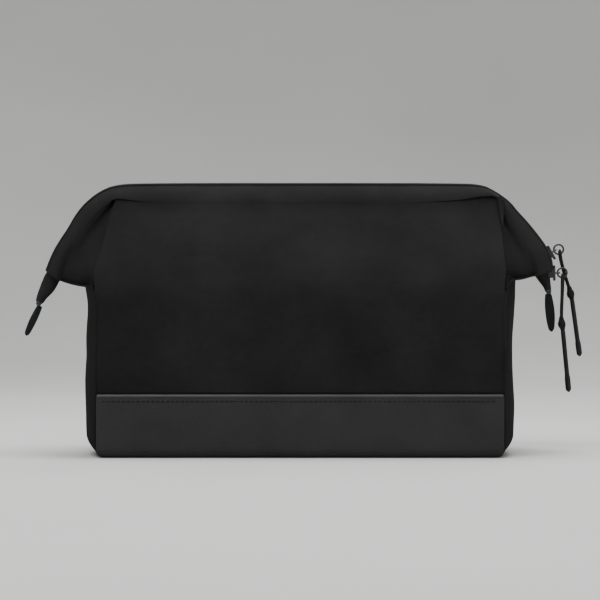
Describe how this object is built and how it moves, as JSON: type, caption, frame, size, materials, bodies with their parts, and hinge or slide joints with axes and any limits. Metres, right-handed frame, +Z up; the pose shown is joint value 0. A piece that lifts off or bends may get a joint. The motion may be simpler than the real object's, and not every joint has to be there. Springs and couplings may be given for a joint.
{
  "type": "wash bag",
  "caption": "Soft canvas wash bag with a leather base, a full-length zip mouth on two hinged wire frames, and cord zip pulls.",
  "frame": {"origin": "middle of the underside of the leather base", "axes": "+X along the bag towards the zip sliders, -Y the front, +Z up"},
  "size_m": [0.353, 0.125, 0.169],
  "materials": {
    "canvas": "matte black cotton canvas",
    "leather": "fine-grained black leather, satin",
    "lining": "smooth woven lining",
    "board": "matte board",
    "zip_cloth": "woven zip tape",
    "zip_coil": "nylon coil",
    "steel": "dark gunmetal plating",
    "cord": "braided cord"
  },
  "bodies": {
    "root": {"back_panel_lower": "canvas", "base_board": "board", "front_panel_lower": "canvas", "leather_base": "leather", "left_back_seam_edge": "canvas", "left_front_seam_edge": "canvas", "left_gusset": "canvas", "left_gusset_shelf": "canvas", "lining_back": "lining", "lining_bottom": "lining", "lining_front": "lining", "lining_left": "lining", "lining_right": "lining", "right_back_seam_edge": "canvas", "right_front_seam_edge": "canvas", "right_gusset": "canvas", "right_gusset_shelf": "canvas"},
    "front_flap": {"front_left_wing": "canvas", "front_panel_upper": "canvas", "front_right_wing": "canvas", "lining_front_upper": "lining"},
    "back_flap": {"back_left_wing": "canvas", "back_panel_upper": "canvas", "back_right_wing": "canvas", "lining_back_upper": "lining"},
    "front_frame": {"front_strip_bar": "canvas", "front_strip_left": "canvas", "front_strip_right": "canvas", "front_wire_frame": "steel", "front_zip_coil": "zip_coil", "front_zip_tape": "zip_cloth"},
    "back_frame": {"back_strip_bar": "canvas", "back_strip_left": "canvas", "back_strip_right": "canvas", "back_wire_frame": "steel", "back_zip_coil": "zip_coil", "back_zip_tape": "zip_cloth"},
    "hinge_ends": {"left_end_stop": "steel", "left_hinge_pin": "steel", "left_zip_end": "zip_cloth", "right_end_stop": "steel", "right_hinge_pin": "steel", "right_zip_end": "zip_cloth"},
    "left_tab": {"left_end_tab": "leather"},
    "right_tab": {"right_end_tab": "leather"},
    "upper_slider": {"upper_slider": "steel"},
    "lower_slider": {"lower_slider": "steel"},
    "upper_ring": {"upper_ring": "steel"},
    "lower_ring": {"lower_ring": "steel"},
    "upper_pull": {"upper_pull_cord": "cord", "upper_pull_knot": "cord", "upper_pull_sleeve": "leather"},
    "lower_pull": {"lower_pull_cord": "cord", "lower_pull_knot": "cord", "lower_pull_sleeve": "leather"}
  },
  "joints": [
    {"name": "front_panel_fold", "type": "hinge", "parent": "root", "child": "front_flap", "pos_m": [0, -0.0555, 0.101], "axis": [1, 0, 0], "range_deg": [0, 22.3]},
    {"name": "back_panel_fold", "type": "hinge", "parent": "root", "child": "back_flap", "pos_m": [0, 0.0555, 0.101], "axis": [-1, 0, 0], "range_deg": [0, 22.3]},
    {"name": "front_frame_tilt", "type": "hinge", "parent": "front_flap", "child": "front_frame", "pos_m": [0, -0.0135, 0.156], "axis": [1, 0, 0], "range_deg": [0, 19.8]},
    {"name": "back_frame_tilt", "type": "hinge", "parent": "back_flap", "child": "back_frame", "pos_m": [0, 0.0135, 0.156], "axis": [-1, 0, 0], "range_deg": [0, 19.8]},
    {"name": "hinge_rise", "type": "slide", "parent": "root", "child": "hinge_ends", "axis": [0, 0, 1], "range_m": [0, 0.0308]},
    {"name": "left_tab_flex", "type": "hinge", "parent": "hinge_ends", "child": "left_tab", "pos_m": [-0.1652, 0, 0.0909], "axis": [0, 1, 0], "range_deg": [-25, 30], "stiffness_Nm_per_rad": 0.004},
    {"name": "right_tab_swing", "type": "hinge", "parent": "hinge_ends", "child": "right_tab", "pos_m": [0.157, 0, 0.0984], "axis": [0, -1, 0], "range_deg": [-20, 40]},
    {"name": "upper_slider_travel", "type": "slide", "parent": "hinge_ends", "child": "upper_slider", "axis": [0.5, 0, -0.866], "range_m": [-0.008, 0.003]},
    {"name": "lower_slider_travel", "type": "slide", "parent": "hinge_ends", "child": "lower_slider", "axis": [0, 0, -1], "range_m": [-0.002, 0.007]},
    {"name": "upper_ring_swing", "type": "hinge", "parent": "upper_slider", "child": "upper_ring", "pos_m": [0.16045, 0, 0.12698], "axis": [0, 1, 0], "range_deg": [-12, 0]},
    {"name": "lower_ring_swing", "type": "hinge", "parent": "lower_slider", "child": "lower_ring", "pos_m": [0.16255, 0, 0.1131], "axis": [0, 1, 0], "range_deg": [-12, 4]},
    {"name": "upper_pull_swing", "type": "hinge", "parent": "upper_ring", "child": "upper_pull", "pos_m": [0.1641, 0, 0.1271], "axis": [0, -1, 0], "range_deg": [-9, 60]},
    {"name": "lower_pull_swing", "type": "hinge", "parent": "lower_ring", "child": "lower_pull", "pos_m": [0.166, 0, 0.1121], "axis": [0, -1, 0], "range_deg": [-3, 60]}
  ],
  "couplings": [
    {"joint": "back_panel_fold", "follows": "front_panel_fold", "ratio": 1},
    {"joint": "front_frame_tilt", "follows": "front_panel_fold", "ratio": 0.8868},
    {"joint": "back_frame_tilt", "follows": "front_panel_fold", "ratio": 0.8868},
    {"joint": "hinge_rise", "follows": "front_panel_fold", "m_per_rad": 0.0791}
  ]
}
